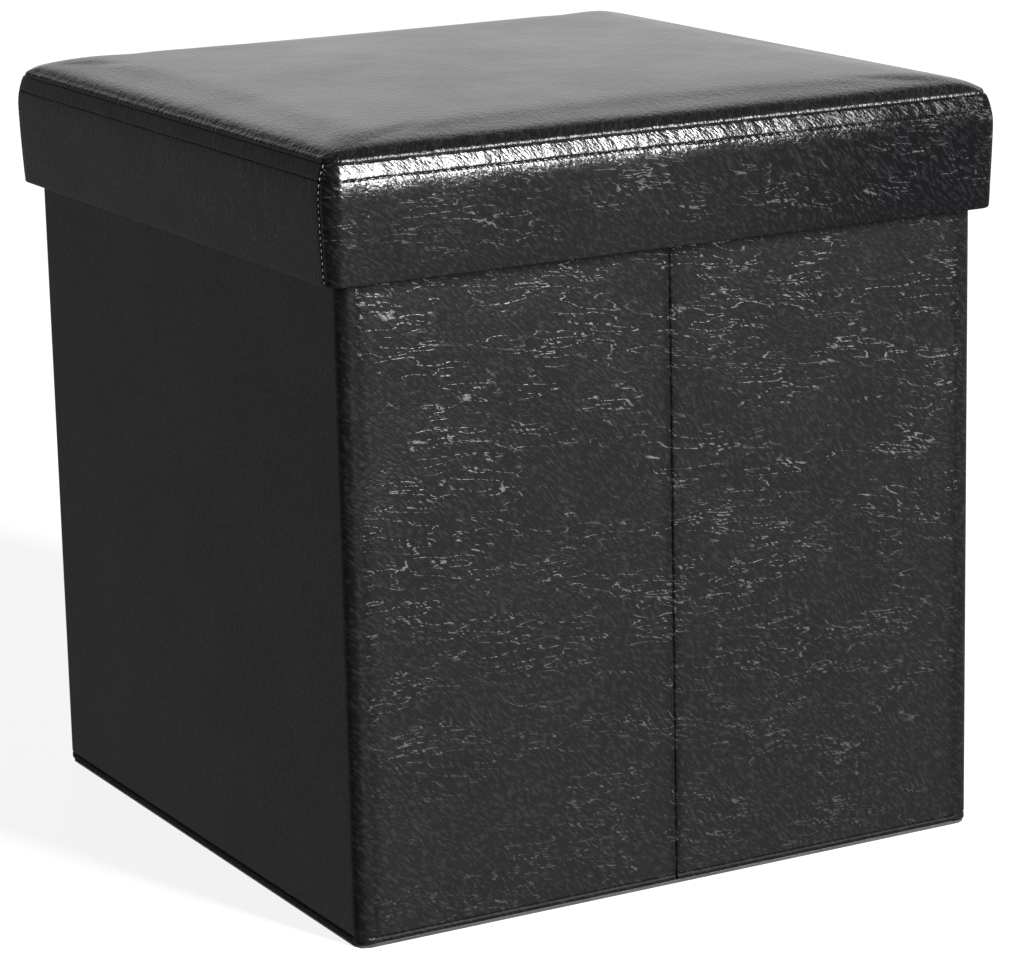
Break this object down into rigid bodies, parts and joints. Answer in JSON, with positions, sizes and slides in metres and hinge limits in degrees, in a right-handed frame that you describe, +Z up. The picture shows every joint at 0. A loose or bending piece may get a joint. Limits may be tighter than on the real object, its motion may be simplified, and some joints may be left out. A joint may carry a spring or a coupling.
{
  "type": "storage ottoman",
  "caption": "Folding storage ottoman: a padded lift-off lid over a square box of hinged, leather-covered panels, with a cloth bottom and a loose base board.",
  "frame": {"origin": "centre of the footprint, on the underside of the cloth bottom", "axes": "+Z up through the lid, -Y out of the front with the sewn centre seam, +X to the right of the front"},
  "size_m": [0.38, 0.38, 0.3982],
  "materials": {
    "black_leather": "semi-gloss grained faux leather",
    "black_nonwoven": "matt non-woven cloth",
    "hardboard": "raw hardboard",
    "grey_card": "raw grey board",
    "pad_foam": "open-cell pad foam"
  },
  "bodies": {
    "left_wall": {"left_cover": "black_leather", "left_board": "grey_card", "left_lining": "black_nonwoven", "left_hem": "black_leather", "corner_front_left": "black_leather", "corner_back_left": "black_leather", "floor_cloth": "black_nonwoven"},
    "front_left_panel": {"front_left_cover": "black_leather", "front_left_board": "grey_card", "front_left_lining": "black_nonwoven", "front_left_hem": "black_leather", "front_seam": "black_leather"},
    "front_right_panel": {"front_right_cover": "black_leather", "front_right_board": "grey_card", "front_right_lining": "black_nonwoven", "front_right_hem": "black_leather"},
    "right_wall": {"right_cover": "black_leather", "right_board": "grey_card", "right_lining": "black_nonwoven", "right_hem": "black_leather", "corner_front_right": "black_leather", "corner_back_right": "black_leather"},
    "back_left_panel": {"back_left_cover": "black_leather", "back_left_board": "grey_card", "back_left_lining": "black_nonwoven", "back_left_hem": "black_leather", "back_seam": "black_leather"},
    "back_right_panel": {"back_right_cover": "black_leather", "back_right_board": "grey_card", "back_right_lining": "black_nonwoven", "back_right_hem": "black_leather"},
    "base_board": {"base_panel": "hardboard", "base_wrap": "black_nonwoven"},
    "lid": {"lid_board": "hardboard", "lid_foam": "pad_foam", "lid_top_cover": "black_leather", "lid_lining": "black_nonwoven", "skirt_front_cover": "black_leather", "skirt_front_board": "grey_card", "skirt_front_lining": "black_nonwoven", "skirt_right_cover": "black_leather", "skirt_right_board": "grey_card", "skirt_right_lining": "black_nonwoven", "skirt_back_cover": "black_leather", "skirt_back_board": "grey_card", "skirt_back_lining": "black_nonwoven", "skirt_left_cover": "black_leather", "skirt_left_board": "grey_card", "skirt_left_lining": "black_nonwoven"}
  },
  "joints": [
    {"name": "box_fold", "type": "hinge", "parent": "left_wall", "child": "front_left_panel", "pos_m": [-0.1709, -0.1729, 0.19], "axis": [0, 0, 1], "range_deg": [0, 90], "deforming": ["front_left_hem"]},
    {"name": "front_seam_fold", "type": "hinge", "parent": "front_left_panel", "child": "front_right_panel", "pos_m": [0, -0.1803, 0.19], "axis": [0, 0, 1], "range_deg": [-180, 0], "deforming": ["front_right_hem"]},
    {"name": "right_wall_fold", "type": "hinge", "parent": "front_right_panel", "child": "right_wall", "pos_m": [0.1709, -0.1729, 0.19], "axis": [0, 0, 1], "range_deg": [0, 90], "deforming": ["right_hem"]},
    {"name": "back_left_fold", "type": "hinge", "parent": "left_wall", "child": "back_left_panel", "pos_m": [-0.1709, 0.1729, 0.19], "axis": [0, 0, 1], "range_deg": [-90, 0], "deforming": ["back_left_hem"]},
    {"name": "back_seam_fold", "type": "hinge", "parent": "back_left_panel", "child": "back_right_panel", "pos_m": [0, 0.1803, 0.19], "axis": [0, 0, 1], "range_deg": [0, 180], "deforming": ["back_right_hem"]},
    {"name": "lid_lift", "type": "slide", "parent": "left_wall", "child": "lid", "axis": [0, 0, 1], "range_m": [0, 0.4]},
    {"name": "base_lift", "type": "slide", "parent": "left_wall", "child": "base_board", "axis": [0, 0, 1], "range_m": [0, 0.4]}
  ],
  "couplings": [
    {"joint": "front_seam_fold", "follows": "box_fold", "ratio": -2},
    {"joint": "right_wall_fold", "follows": "box_fold", "ratio": 1},
    {"joint": "back_left_fold", "follows": "box_fold", "ratio": -1},
    {"joint": "back_seam_fold", "follows": "box_fold", "ratio": 2},
    {"joint": "base_lift", "follows": "lid_lift", "ratio": 1}
  ]
}
